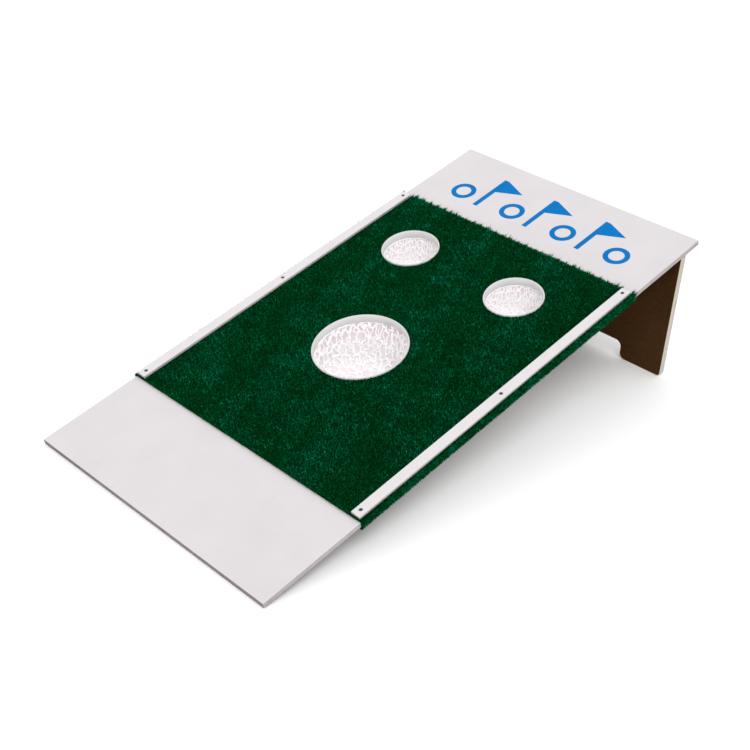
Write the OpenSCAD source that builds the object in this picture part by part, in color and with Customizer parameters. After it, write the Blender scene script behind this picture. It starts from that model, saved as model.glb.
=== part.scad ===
// Chipping target board for lawn golf: a white deck with a strip of artificial turf wrapped round it,
// three round holes with net bags under them, and one folding leg panel that lifts the far end.
// X runs across the board, Y from the near edge to the far edge and Z up from the ground.
// The origin is on the ground, in the middle of the board's footprint. Sizes are in millimetres.

/* [Deck] */
// Width of the deck, side to side
deck_w = 610; // [600:1:640]
// Length of the deck, near edge to far edge
deck_l = 1190; // [1180:1:1215]
// Thickness of the deck board
deck_t = 12; // [10:0.5:15]
// Height of the deck's far top edge above the ground
back_h = 300; // [280:1:330]

/* [Holes] */
// Diameter of the large hole
large_hole_d = 190; // [160:1:200]
// Distance of the large hole's centre from the near edge
large_hole_y = 540; // [500:1:560]
// Diameter of each small hole
small_hole_d = 121; // [100:1:126]
// Distance of the small holes' centres from the near edge
small_hole_y = 828; // [780:1:835]
// Distance between the two small holes' centres
small_hole_spacing = 278; // [240:1:284]
// Sideways place of the whole hole pattern, left of the middle being negative
hole_shift_x = -13; // [-15:1:0]
// Wall thickness of the white ring that lines each hole
liner_wall = 3; // [2:0.5:4]

/* [Turf] */
// Distance of the turf's near end from the deck's near edge
turf_y = 219; // [200:1:240]
// Length of the turf along the deck
turf_l = 752; // [748:1:765]
// Thickness of the turf, backing and pile together
turf_t = 5.5; // [4:0.5:6]
// Thickness of the turf where a batten presses it down
pressed_t = 2.5; // [1.5:0.5:3]
// Width of the turf that is turned in under each side of the deck
return_w = 45; // [35:1:60]

/* [Battens] */
// Width of each batten
batten_w = 21; // [18:1:24]
// Thickness of each batten
batten_t = 7; // [6:0.5:9]
// Length of each batten
batten_l = 745; // [725:1:746]
// Distance from the deck's side to the batten's outer side
batten_inset = 2.5; // [2:0.5:5]
// Distance from each end of a batten to its end screws
batten_screw_inset = 13; // [10:1:25]

/* [Net bags] */
// Depth of the large net bag below the deck
large_bag_depth = 78; // [60:1:90]
// Depth of each small net bag below the deck
small_bag_depth = 52; // [40:1:70]
// Thickness of the bags' walls
bag_wall = 2.5; // [2:0.5:4]
// Width of the webbing ring that holds a bag's edge against the deck
hem_w = 10; // [9:0.5:12]
// Thickness of that webbing ring
hem_t = 2.5; // [1.5:0.5:3]

/* [Leg] */
// Thickness of the leg panel
leg_t = 15; // [12:0.5:18]
// Distance from the deck's far edge to the hinge pins, along the deck
hinge_setback = 63; // [58:0.5:70]
// Width of each foot
foot_w = 104; // [95:1:106]
// Height of the notch between the feet
notch_h = 38; // [30:1:42]
// Radius of the notch's corners
notch_r = 14; // [8:1:14]
// Radius of the leg's outer bottom corners
foot_r = 8; // [4:1:12]

/* [Hinges] */
// Width of each hinge along its pin
hinge_w = 76; // [60:1:90]
// Distance of each hinge's middle from the middle of the board
hinge_x = 195; // [150:1:210]
// Length of each leaf from the pin
leaf_l = 30; // [28:1:34]
// Thickness of the leaves
leaf_t = 1.8; // [1.5:0.1:2]
// Outer radius of the knuckles
knuckle_r = 4; // [3.8:0.1:4]
// Radius of the pin
pin_r = 2; // [1.8:0.1:2]

/* [Headboard graphic] */
// Height of the row of flags and rings
graphic_h = 110; // [80:1:116]
// Distance of the graphic's foot from the deck's near edge
graphic_y = 1026; // [1010:1:1050]
// Distance between neighbouring figures
graphic_pitch = 68; // [64:1:70]

/* [Hidden] */
$fn = 96;

// The deck leans on its near bottom edge, so its tilt follows from its size and its back height
tilt = asin(back_h / norm([deck_l, deck_t])) - atan(deck_t / deck_l);
frame_y = -(deck_l * cos(tilt) - deck_t * sin(tilt)) / 2;
half_w = deck_w / 2;

// Holes as [middle in X, middle along the deck, radius, bag depth]
LARGE = [hole_shift_x, large_hole_y, large_hole_d / 2, large_bag_depth];
LEFT = [hole_shift_x - small_hole_spacing / 2, small_hole_y, small_hole_d / 2, small_bag_depth];
RIGHT = [hole_shift_x + small_hole_spacing / 2, small_hole_y, small_hole_d / 2, small_bag_depth];
HOLES = [LARGE, LEFT, RIGHT];

// Gaps: a loose fit within one body, between bodies that move, and round a turning pin
loose_gap = 0.1;
moving_gap = 0.3;
pin_clearance = 0.05;
cut = 1; // how far a cutting shape passes the face that it cuts

batten_x = half_w - batten_inset - batten_w / 2;
batten_y = turf_y + (turf_l - batten_l) / 2;
batten_z = deck_t + pressed_t;
batten_screw_y = [
  batten_y + batten_screw_inset, batten_y + batten_l / 2, batten_y + batten_l - batten_screw_inset
];

// Wood screws as [shank radius, head radius, head height, length]
BATTEN_SCREW = [1.7, 3.6, 2.2, 19];
LEAF_SCREW = [1.6, 3.2, 1.6, 10.5];
recess_w = 0.9;
leaf_screw_spots = [[-27, 20], [0, 13], [27, 20]]; // along the pin, and away from it

// The pin lies this far under the deck and in front of the leg
pin_gap = knuckle_r + moving_gap;
pin_y = deck_l - hinge_setback;
knuckles = 5;
pin_head_r = 3;
pin_head_t = 1.4;
leaf_corner_r = 5;

bag_gap = 1; // how far a bag's wall lies outside its hole's edge
bag_taper = 0.9; // width of a bag's floor as a share of its mouth
bag_sag = 4;
bag_neck = 6;

staple_crown = 11;
staple_wire = 1.1;
staple_leg = 9;
turf_staples = 9;
turf_staple_inset = 18;
large_staples = 14;
small_staples = 9;
graphic_t = 0.3;
figure_line = 11; // width of the rings' and poles' lines

function arc_points(x, y, r, from, to, steps = 8) =
  [for (i = [0:steps]) let (a = from + (to - from) * i / steps) [x + r * cos(a), y + r * sin(a)]];
function mirrored(points) = [for (i = [len(points) - 1:-1:0]) [-points[i][0], points[i][1]]];

// The deck's own axes: X across, Y along the deck, Z out of its top, from its near bottom edge
module on_deck() {
  translate([0, frame_y, 0]) rotate([tilt, 0, 0]) children();
}

// The middle of a hole on the deck's underside, with the deck's own axes
module at_hole(hole) {
  on_deck() translate([hole[0], hole[1], 0]) children();
}

// The same point with Z straight up, which is how a bag hangs
module below_hole(hole) {
  translate([hole[0], frame_y + hole[1] * cos(tilt), hole[1] * sin(tilt)]) children();
}

// The middle of a hinge's pin, with the ground's axes
module at_pin(side) {
  y = pin_y * cos(tilt) + pin_gap * sin(tilt);
  z = pin_y * sin(tilt) - pin_gap * cos(tilt);
  translate([side * hinge_x, frame_y + y, z]) children();
}

// The same point with the deck's axes
module at_deck_pin(side) {
  at_pin(side) rotate([tilt, 0, 0]) children();
}

// Everything above the deck's underside, less a gap
module above_underside(gap) {
  on_deck() translate([-deck_w, -deck_l, -gap]) cube([2 * deck_w, 3 * deck_l, 4 * back_h]);
}

// A countersunk wood screw with a cross recess, its head's top at the origin and its point down
module wood_screw(size) {
  point = 2 * size[0];
  difference() {
    union() {
      translate([0, 0, -size[2]]) cylinder(h = size[2], r1 = size[0], r2 = size[1], $fn = 32);
      translate([0, 0, point - size[3]])
        cylinder(h = size[3] - size[2] - point, r = size[0], $fn = 32);
      translate([0, 0, -size[3]]) cylinder(h = point, r1 = 0.2, r2 = size[0], $fn = 32);
    }
    for (turn = [0, 90]) {
      rotate([0, 0, turn + 20]) translate([-size[1] * 0.6, -recess_w / 2, -size[2] * 0.7])
        cube([size[1] * 1.2, recess_w, size[2] + cut]);
    }
  }
}

// The space that a wood screw needs: its countersink and its shank
module screw_space(size) {
  translate([0, 0, -size[2]])
    cylinder(h = size[2] + 0.01, r1 = size[0] + loose_gap, r2 = size[1] + loose_gap, $fn = 32);
  translate([0, 0, -size[3] - cut]) cylinder(h = size[3] + cut, r = size[0] + loose_gap, $fn = 32);
  cylinder(h = cut, r = size[1] + loose_gap, $fn = 32);
}

module at_batten_screws(side) {
  for (y = batten_screw_y) {
    on_deck() translate([side * batten_x, y, batten_z + batten_t]) children();
  }
}

module at_leaf_screws() {
  for (spot = leaf_screw_spots) {
    translate([spot[0], pin_gap - leaf_t, -spot[1]]) rotate([90, 0, 0]) children();
  }
}

// Turns a leaf that stands on the leg into the one that lies under the deck
module as_deck_leaf() {
  mirror([0, 1, 0]) rotate([90, 0, 0]) children();
}

module deck_board() {
  color("gainsboro") difference() {
    on_deck() translate([-half_w, 0, 0]) cube([deck_w, deck_l, deck_t]);
    for (hole = HOLES) {
      at_hole(hole) translate([0, 0, -cut]) cylinder(h = deck_t + 2 * cut, r = hole[2]);
    }
    for (side = [-1, 1]) {
      at_batten_screws(side) screw_space(BATTEN_SCREW);
      at_deck_pin(side) as_deck_leaf() at_leaf_screws() screw_space(LEAF_SCREW);
    }
  }
}

// A ring such as a ball makes on the ground, and a flag on a pole, both lying flat
module ball_ring(r) {
  difference() {
    cylinder(h = graphic_t, r = r);
    translate([0, 0, -cut]) cylinder(h = graphic_t + 2 * cut, r = r - figure_line);
  }
}

module flag(height) {
  linear_extrude(graphic_t) polygon([
    [-figure_line / 2, 0], [figure_line / 2, 0], [figure_line / 2, height * 0.57],
    [height * 0.56, height * 0.785], [figure_line / 2, height], [-figure_line / 2, height]
  ]);
}

module headboard_graphic() {
  ring_r = graphic_h / 4;
  color("dodgerblue") on_deck() translate([0, graphic_y, deck_t]) {
    for (i = [-1:1]) {
      translate([2 * i * graphic_pitch - ring_r / 2, 0, 0]) flag(graphic_h);
    }
    for (i = [-1.5:1:1.5]) {
      translate([2 * i * graphic_pitch, ring_r, 0]) ball_ring(ring_r);
    }
  }
}

// Seen from the near end, the turf is a strip that wraps both sides of the deck
module turf_mat() {
  side = concat(
    [[half_w - return_w, -turf_t]],
    arc_points(half_w, 0, turf_t, -90, 0),
    arc_points(half_w, deck_t, turf_t, 0, 90)
  );
  inside = [
    [return_w - half_w, 0], [-half_w, 0], [-half_w, deck_t],
    [half_w, deck_t], [half_w, 0], [half_w - return_w, 0]
  ];
  color("darkgreen") difference() {
    on_deck() translate([0, turf_y + turf_l, 0]) rotate([90, 0, 0])
      linear_extrude(turf_l) polygon(concat(side, mirrored(side), inside));
    for (hole = HOLES) {
      at_hole(hole) translate([0, 0, -cut]) cylinder(h = deck_t + turf_t + 2 * cut, r = hole[2]);
    }
    for (x = [-batten_x, batten_x]) {
      on_deck() translate([x - batten_w / 2, batten_y, batten_z])
        cube([batten_w, batten_l, batten_t]);
    }
    for (end = [-1, 1]) {
      at_batten_screws(end) screw_space(BATTEN_SCREW);
    }
  }
}

// A staple driven up into the underside, its crown's top at the origin and lying along X
module staple() {
  translate([-staple_crown / 2, -staple_wire / 2, -staple_wire])
    cube([staple_crown, staple_wire, staple_wire]);
  for (x = [-staple_crown / 2, staple_crown / 2 - staple_wire]) {
    translate([x, -staple_wire / 2, -cut / 2]) cube([staple_wire, staple_wire, staple_leg + cut / 2]);
  }
}

module turf_staple_row(side) {
  step = (turf_l - 2 * turf_staple_inset) / (turf_staples - 1);
  color("silver") for (i = [0:turf_staples - 1]) {
    on_deck() translate([side * (half_w - return_w / 2), turf_y + turf_staple_inset + i * step, -turf_t])
      rotate([0, 0, 90]) staple();
  }
}

module batten(side) {
  color("whitesmoke") difference() {
    on_deck() translate([side * batten_x - batten_w / 2, batten_y, batten_z])
      cube([batten_w, batten_l, batten_t]);
    at_batten_screws(side) screw_space(BATTEN_SCREW);
  }
}

module batten_screws(side) {
  color("dimgray") at_batten_screws(side) wood_screw(BATTEN_SCREW);
}

// The ring that lines a hole from the deck's underside to the top of the turf
module hole_liner(hole) {
  height = deck_t + turf_t;
  color("white") at_hole(hole) difference() {
    cylinder(h = height, r = hole[2] - loose_gap);
    translate([0, 0, -cut]) cylinder(h = height + 2 * cut, r = hole[2] - liner_wall);
  }
}

function bag_r(hole) = hole[2] + bag_gap;

// Half of a bag's outline, from its axis at the floor up past its mouth
function bag_side(hole, inset) =
  let (r = bag_r(hole), round_r = hole[3] / 2, floor_r = r * bag_taper)
  concat(
    [[0, inset - hole[3] - bag_sag]],
    arc_points(floor_r - round_r, round_r - hole[3], round_r - inset, -90, 0, 6),
    [[r - inset, -bag_neck], [r - inset, back_h / 4]]
  );

// An open net bag that hangs straight down from the edge of its hole
module net_bag(hole) {
  outer = bag_side(hole, 0);
  inner = bag_side(hole, bag_wall);
  color("ghostwhite") difference() {
    below_hole(hole) rotate_extrude()
      polygon(concat(outer, [for (i = [len(inner) - 1:-1:0]) inner[i]]));
    above_underside(loose_gap);
  }
}

// The webbing ring under the deck that a bag's edge is stapled through
module net_hem(hole) {
  color("white") difference() {
    at_hole(hole) translate([0, 0, -hem_t]) cylinder(h = hem_t, r = bag_r(hole) + hem_w);
    below_hole(hole) translate([0, 0, -back_h / 4])
      cylinder(h = back_h / 2, r = bag_r(hole) + loose_gap);
  }
}

module hem_staples(hole, count) {
  color("silver") for (i = [0:count - 1]) {
    at_hole(hole) rotate([0, 0, (i + 0.5) * 360 / count])
      translate([0, bag_r(hole) + hem_w * 0.65, -hem_t]) staple();
  }
}

// One leaf of a butt hinge, standing on the leg: its pin runs along X through the origin, and its
// back lies pin_gap behind the pin. It has the knuckles whose numbers are in its list.
module hinge_leaf(own) {
  pitch = hinge_w / knuckles;
  clear = knuckle_r + 2 * moving_gap;
  plate = concat(
    [[-hinge_w / 2, -clear]],
    arc_points(leaf_corner_r - hinge_w / 2, leaf_corner_r - leaf_l, leaf_corner_r, 180, 270, 5),
    arc_points(hinge_w / 2 - leaf_corner_r, leaf_corner_r - leaf_l, leaf_corner_r, 270, 360, 5),
    [[hinge_w / 2, -clear]]
  );
  difference() {
    union() {
      translate([0, pin_gap, 0]) rotate([90, 0, 0]) linear_extrude(leaf_t) polygon(plate);
      for (i = own) {
        x = i * pitch - hinge_w / 2 + moving_gap / 2;
        translate([x, pin_gap - leaf_t, -clear - cut])
          cube([pitch - moving_gap, leaf_t, clear + cut]);
        translate([x, 0, 0]) rotate([0, 90, 0])
          cylinder(h = pitch - moving_gap, r = knuckle_r, $fn = 48);
      }
    }
    translate([-hinge_w, 0, 0]) rotate([0, 90, 0])
      cylinder(h = 2 * hinge_w, r = pin_r + pin_clearance, $fn = 48);
    at_leaf_screws() screw_space(LEAF_SCREW);
  }
}

module hinge_deck_leaf(side) {
  color("silver") at_deck_pin(side) as_deck_leaf() hinge_leaf([0, 2, 4]);
}

module hinge_leg_leaf(side) {
  color("silver") at_pin(side) hinge_leaf([1, 3]);
}

module hinge_pin(side) {
  color("gray") at_pin(side) rotate([0, 90, 0]) {
    translate([0, 0, -hinge_w / 2]) cylinder(h = hinge_w, r = pin_r, $fn = 48);
    for (end = [0, 1]) {
      mirror([0, 0, end]) translate([0, 0, hinge_w / 2])
        cylinder(h = pin_head_t, r1 = pin_head_r, r2 = pin_head_r * 0.7, $fn = 48);
    }
  }
}

module deck_leaf_screws(side) {
  color("dimgray") at_deck_pin(side) as_deck_leaf() at_leaf_screws() wood_screw(LEAF_SCREW);
}

module leg_leaf_screws(side) {
  color("dimgray") at_pin(side) at_leaf_screws() wood_screw(LEAF_SCREW);
}

// The leg stands plumb on two feet, and its top is bevelled to bear on the deck's underside
module leg_panel() {
  notch_x = half_w - foot_w;
  foot = concat(
    [[half_w, back_h]],
    arc_points(half_w - foot_r, foot_r, foot_r, 0, -90),
    arc_points(notch_x + notch_r, notch_r, notch_r, -90, -180),
    arc_points(notch_x - notch_r, notch_h - notch_r, notch_r, 0, 90)
  );
  color("saddlebrown") difference() {
    at_pin(0) translate([0, pin_gap + leg_t, 0]) rotate([90, 0, 0])
      translate([0, pin_gap * cos(tilt) - pin_y * sin(tilt), 0])
        linear_extrude(leg_t) polygon(concat(foot, mirrored(foot)));
    above_underside(moving_gap);
    for (side = [-1, 1]) {
      at_pin(side) at_leaf_screws() screw_space(LEAF_SCREW);
    }
  }
}

deck_board();
headboard_graphic();
turf_mat();
turf_staple_row(-1);  // left_turf_staples
turf_staple_row(1);  // right_turf_staples
batten(-1);  // left_batten
batten(1);  // right_batten
batten_screws(-1);  // left_batten_screws
batten_screws(1);  // right_batten_screws
hole_liner(LARGE);  // large_hole_liner
hole_liner(LEFT);  // left_hole_liner
hole_liner(RIGHT);  // right_hole_liner
net_bag(LARGE);  // large_net_bag
net_bag(LEFT);  // left_net_bag
net_bag(RIGHT);  // right_net_bag
net_hem(LARGE);  // large_net_hem
net_hem(LEFT);  // left_net_hem
net_hem(RIGHT);  // right_net_hem
hem_staples(LARGE, large_staples);  // large_hem_staples
hem_staples(LEFT, small_staples);  // left_hem_staples
hem_staples(RIGHT, small_staples);  // right_hem_staples
hinge_deck_leaf(-1);  // left_hinge_deck_leaf
hinge_deck_leaf(1);  // right_hinge_deck_leaf
hinge_pin(-1);  // left_hinge_pin
hinge_pin(1);  // right_hinge_pin
deck_leaf_screws(-1);  // left_deck_leaf_screws
deck_leaf_screws(1);  // right_deck_leaf_screws
leg_panel();
hinge_leg_leaf(-1);  // left_hinge_leg_leaf
hinge_leg_leaf(1);  // right_hinge_leg_leaf
leg_leaf_screws(-1);  // left_leg_leaf_screws
leg_leaf_screws(1);  // right_leg_leaf_screws
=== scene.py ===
"""Looks of the chipping target board: a white deck with a strip of artificial turf, three netted
holes and a folding leg. Everything is in metres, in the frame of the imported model."""

import itertools
import math

import bmesh
import bpy
import numpy as np
from mathutils import Matrix, Vector


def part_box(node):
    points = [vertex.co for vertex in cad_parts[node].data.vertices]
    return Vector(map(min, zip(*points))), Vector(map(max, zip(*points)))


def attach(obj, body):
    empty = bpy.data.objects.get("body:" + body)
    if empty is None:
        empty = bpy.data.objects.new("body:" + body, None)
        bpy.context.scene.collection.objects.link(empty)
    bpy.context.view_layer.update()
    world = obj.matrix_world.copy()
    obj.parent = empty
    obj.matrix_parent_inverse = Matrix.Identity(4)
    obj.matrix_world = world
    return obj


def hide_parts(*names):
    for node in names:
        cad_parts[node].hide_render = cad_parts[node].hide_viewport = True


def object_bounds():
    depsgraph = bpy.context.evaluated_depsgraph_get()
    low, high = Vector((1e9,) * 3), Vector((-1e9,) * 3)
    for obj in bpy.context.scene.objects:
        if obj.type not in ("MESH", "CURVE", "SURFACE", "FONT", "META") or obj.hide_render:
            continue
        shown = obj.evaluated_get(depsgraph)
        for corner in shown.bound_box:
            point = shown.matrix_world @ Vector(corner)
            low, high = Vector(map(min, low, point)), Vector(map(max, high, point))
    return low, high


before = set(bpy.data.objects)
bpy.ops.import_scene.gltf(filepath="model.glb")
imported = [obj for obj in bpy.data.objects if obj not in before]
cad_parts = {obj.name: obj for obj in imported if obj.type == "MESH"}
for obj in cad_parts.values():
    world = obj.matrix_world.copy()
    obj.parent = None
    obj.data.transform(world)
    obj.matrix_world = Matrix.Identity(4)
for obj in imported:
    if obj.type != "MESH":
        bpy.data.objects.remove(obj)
CAD_LOW, CAD_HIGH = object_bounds()
MM = 0.001

# Camera: the way it looks, how far it stands off, and the point it looks at from the box's middle
LOOK_AZIMUTH = 42.69
LOOK_ELEVATION = 31.11
LOOK_ROLL = -3.81
LOOK_DISTANCE = 2.475
LOOK_AT = Vector((0.0842, -0.1143, 0.0))
LENS = 64.67

# Light: the white surroundings, and a soft overhead light and where it comes from
SKY = 1.0
OVERHEAD = 1.35
OVERHEAD_FROM = (0.6, -0.45, 1.0)

# Boards: how their edges are rounded
DECK_ROUND = 1.2 * MM
LEG_ROUND = 1.0 * MM
BATTEN_ROUND = 1.1 * MM
ROUND_STEPS = 3
SCREW_HOLE = 40 * MM  # a narrower opening is a screw's, and the deck and leg are built without it
SHORT_OUTLINE = 25 * MM  # a shorter outline is a batten's screw hole, and is rounded by SHORT_SHARE
SHORT_SHARE = 0.1
CORE_FROM = 0.62  # the leg's edge shows its core from this share of its thickness to its inner face

# Rings in the holes
RING_WALL = 3.0 * MM
# how far down the rings' lips take the painted shade, a darker copy of the ring plastic
LIP_SHADE_DEPTH = 1.2 * MM

# Net bags: the size of each one's cells, the radius of its cords and its seed, and its lining
NETS = {
    "large": (21 * MM, 1.75 * MM, 3),
    "left": (11.5 * MM, 1.15 * MM, 5),
    "right": (11.5 * MM, 1.15 * MM, 8),
}
LAYER_CELL = 1.35  # cells of the second layer of netting, against the first
LAYER_CORD = 0.62  # and its cords
BORDER_R = 1.4 * MM
CELL_STRETCH = 1.3  # power of the distance from the middle that draws the cells out towards the mouth
KNOT_WOBBLE = 0.26  # how far knots are out of place, against a cell's side
STRAND_BEND = 0.17  # how far strands are curved, against their length
LINING_T = 0.5 * MM
LINING_GRID = (3.0 * MM, 2.6 * MM)  # how far apart its points are, round the hole and down the bag
LINING_OUT = 0.7 * MM  # how far the lining lies outside the line that the bag's shape is drawn on
CORD_PROUD = 0.6  # how far, in cord radii, the cords' middles stand inside the lining
PLEATS = (11, 17)  # two waves round a bag's mouth
PLEAT_DEPTH = 1.3 * MM
PUCKERS = (310, 270)  # waves over its floor, in radians to the metre
PUCKER_DEPTH = 0.9 * MM

# Turf
BACKING_T = 1.7 * MM
BLADES = 250000  # how many are sown, before those in the holes and under the battens go
PILE_PIECES = 5
PILE_SEED = 11
BLADE_W = (0.8 * MM, 1.4 * MM)
BLADE_TALL = (0.72, 1.04)  # how long the blades are, against the height of the CAD's pile
SIDE_PILE = 1.15  # how long they are on the deck's sides, against the top
UNDER_PILE = 0.93  # and underneath, where the folded leg passes
NEAR_PILE = 0.62  # and at a side's near end, where they grow by their length in NEAR_TAPER
NEAR_TAPER = 7 * MM
TUFT_GROWTH = 2.2  # how much longer they are in the tufts of the ragged far end
LEAN = 0.42  # how far they lean, as a share of their height
END_LEAN = 5.0 * MM  # how near an end of the turf they begin to lean out
END_SHARE = 0.03  # share of them that stand along each cut end
PATCHES = (0.006, 0.016, 0.045, 0.13), (1.0, 0.8, 0.6, 0.8)  # sizes in metres, and their weights
TUFTS = (0.005, 0.009, 0.02), (1.0, 0.8, 0.5)


# -------- frames and outlines


def node_points(node):
    """A CAD node's points, as an array."""
    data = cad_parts[node].data
    points = np.zeros(len(data.vertices) * 3)
    data.vertices.foreach_get("co", points)
    return points.reshape(-1, 3)


def deck_frame():
    """The deck's axes, read off its board: X across, Y along and Z out of its top, from the
    middle of its near bottom edge."""
    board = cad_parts["deck_board"].data
    up = max((p for p in board.polygons if p.normal.z > 0.5), key=lambda p: p.area).normal.copy()
    up.normalize()
    across = Vector((1, 0, 0))
    along = up.cross(across)
    points = node_points("deck_board")
    start = along * (points @ np.array(along)).min() + up * (points @ np.array(up)).min()
    return Matrix.Translation(start) @ Matrix((across, along, up)).transposed().to_4x4()


def leg_frame():
    """The leg's axes: X across, Y up and Z out of its inner face, from its outer face."""
    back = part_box("leg_panel")[1].y
    turn = Matrix((Vector((1, 0, 0)), Vector((0, 0, 1)), Vector((0, -1, 0)))).transposed()
    return Matrix.Translation((0, back, 0)) @ turn.to_4x4()


DECK = deck_frame()
LEG = leg_frame()
TILT = math.atan2(DECK[2][1], DECK[1][1])


def placed(points, matrix):
    """Points given in a frame's own axes, in the row frame."""
    m = np.array(matrix)
    return np.asarray(points, float) @ m[:3, :3].T + m[:3, 3]


def local(node, matrix):
    """A CAD node's points in a frame's own axes."""
    return placed(node_points(node), matrix.inverted())


def deck_box(node):
    points = local(node, DECK)
    return points.min(0), points.max(0)


def face_loops(node, matrix):
    """The outlines of the flat face that a node turns out of its frame's Z, the outer one
    anticlockwise and the holes clockwise."""
    points = local(node, matrix)
    level = points[:, 2].max()
    # points are told apart to a micrometre
    keys = [tuple(p) for p in np.round(points[:, :2] * 1e6).astype(int)]
    place = {k: points[i, :2] for i, k in enumerate(keys)}
    edges = set()
    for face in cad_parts[node].data.polygons:
        corners = list(face.vertices)
        if all(abs(points[i, 2] - level) < 1e-5 for i in corners):
            for a, b in zip(corners, corners[1:] + corners[:1]):
                edges.add((keys[a], keys[b]))
    following = {a: b for a, b in edges if (b, a) not in edges}
    loops = []
    while following:
        start, at = following.popitem()
        loop = [start]
        while at != start:
            loop.append(at)
            at = following.pop(at)
        loops.append(np.array([place[k] for k in loop]))
    return loops


def board_loops(node, matrix):
    """A board's outline and its openings, without its screw holes."""
    return [loop for loop in face_loops(node, matrix) if np.ptp(loop[:, 0]) > SCREW_HOLE]


def arc(centre, radius, start, end, steps):
    """Points from angle start to angle end round a centre."""
    turn = np.linspace(start, end, steps + 1)
    return [(centre[0] + radius * math.cos(a), centre[1] + radius * math.sin(a)) for a in turn]


def circle(count):
    """Evenly spaced places on a circle of radius 1."""
    angle = np.linspace(0, 2 * math.pi, count, endpoint=False)
    return np.stack([np.cos(angle), np.sin(angle)], axis=-1)


def distances(line):
    """How far along a line of points each of them is."""
    return np.concatenate([[0], np.cumsum(np.linalg.norm(np.diff(line, axis=0), axis=1))])


def followed(line, along, at, step):
    """Places (x, z) on a line at some distances along it, and the way out to its right there."""
    x, z = (np.interp(at, along, side) for side in line.T)
    dx, dz = (np.interp(at + step, along, side) - np.interp(at - step, along, side) for side in line.T)
    size = np.maximum(np.hypot(dx, dz), 1e-9)
    return x, z, dz / size, -dx / size


# -------- mesh helpers


def finish_object(mesh, materials, body):
    """A piece from its mesh, with the mesh's name, riding on a body."""
    piece = bpy.data.objects.new(mesh.name, mesh)
    bpy.context.scene.collection.objects.link(piece)
    for m in materials:
        mesh.materials.append(m)
    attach(piece, body)
    return piece


def finish_mesh(name, bm):
    """The mesh of a closed bmesh, with its faces turned outwards."""
    bmesh.ops.recalc_face_normals(bm, faces=bm.faces)
    mesh = bpy.data.meshes.new(name)
    bm.to_mesh(mesh)
    bm.free()
    return mesh


def quick_mesh(name, points, faces, sizes=None):
    """A smooth mesh from arrays. Where faces differ in how many corners they have, sizes says so."""
    if sizes is None:
        sizes = np.full(len(faces), faces.shape[1])
    mesh = bpy.data.meshes.new(name)
    points = np.asarray(points, np.float32).ravel()
    mesh.vertices.add(len(points) // 3)
    mesh.vertices.foreach_set("co", points)
    mesh.loops.add(faces.size)
    mesh.loops.foreach_set("vertex_index", faces.astype(np.int32).ravel())
    mesh.polygons.add(len(sizes))
    mesh.polygons.foreach_set("loop_start", (np.cumsum(sizes) - sizes).astype(np.int32))
    mesh.polygons.foreach_set("use_smooth", np.ones(len(sizes), bool))
    mesh.update(calc_edges=True)
    return mesh


def inward(loop):
    """For each corner of an outline, the way into the material, long enough for mitred sides."""
    before = loop - np.roll(loop, 1, 0)
    after = np.roll(loop, -1, 0) - loop
    sides = []
    for step in (before, after):
        step = step / np.linalg.norm(step, axis=1)[:, None]
        sides.append(np.stack([-step[:, 1], step[:, 0]], axis=1))
    total = sides[0] + sides[1]
    return total / (1 + (sides[0] * sides[1]).sum(1))[:, None]


def plate(name, loops, levels, cap_index=(0, 0)):
    """A flat board from its outlines. levels are (height, inset, material index of the band above),
    from the bottom up, and cap_index has the material indices of the bottom and the top."""
    bm = bmesh.new()
    rims = ([], [])
    for loop in loops:
        short = np.linalg.norm(loop - np.roll(loop, 1, 0), axis=1).sum() < SHORT_OUTLINE
        way = inward(loop) * (SHORT_SHARE if short else 1.0)
        rings = [[bm.verts.new((*p, height)) for p in loop + way * inset] for height, inset, _ in levels]
        for lower, upper, (_, _, index) in zip(rings, rings[1:], levels):
            for k in range(len(loop)):
                face = bm.faces.new((lower[k - 1], lower[k], upper[k], upper[k - 1]))
                face.material_index = index
                face.smooth = True
        for rim, ring in zip(rims, (rings[0], rings[-1])):
            rim += [bm.edges.get(pair) for pair in zip(ring, ring[1:] + ring[:1])]
    for rim, index in zip(rims, cap_index):
        filled = bmesh.ops.triangle_fill(bm, use_beauty=True, use_dissolve=False, edges=rim)
        for face in filled["geom"]:
            if isinstance(face, bmesh.types.BMFace):
                face.material_index = index
                face.smooth = False
    return finish_mesh(name, bm)


def rounded_levels(thickness, radius, crown=0):
    """Levels of a board with rounded edges: crown is the material index of the top edge's rounding,
    and everything below it has 1."""
    turn = arc((radius, radius), radius, -math.pi / 2, -math.pi, ROUND_STEPS)
    bottom = [(height, inset, 1) for inset, height in turn]
    return bottom + [(thickness - height, inset, crown) for inset, height in reversed(turn)]


def lathe(name, outline, centre, turns):
    """A ring from a closed outline of (radius, height), round a point in the deck's own axes."""
    outline = np.asarray(outline, float)
    n = len(outline)
    x, y = (centre[axis] + np.outer(circle(turns)[:, axis], outline[:, 0]) for axis in range(2))
    z = centre[2] + np.tile(outline[:, 1], (turns, 1))
    points = placed(np.stack([x, y, z], axis=2).reshape(-1, 3), DECK)
    i, j = np.meshgrid(np.arange(turns) * n, np.arange(n), indexing="ij")
    turned, next_j = (i + n) % (turns * n), (j + 1) % n
    faces = np.stack([i + j, turned + j, turned + next_j, i + next_j], axis=2).reshape(-1, 4)
    return quick_mesh(name, points, faces)


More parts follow.
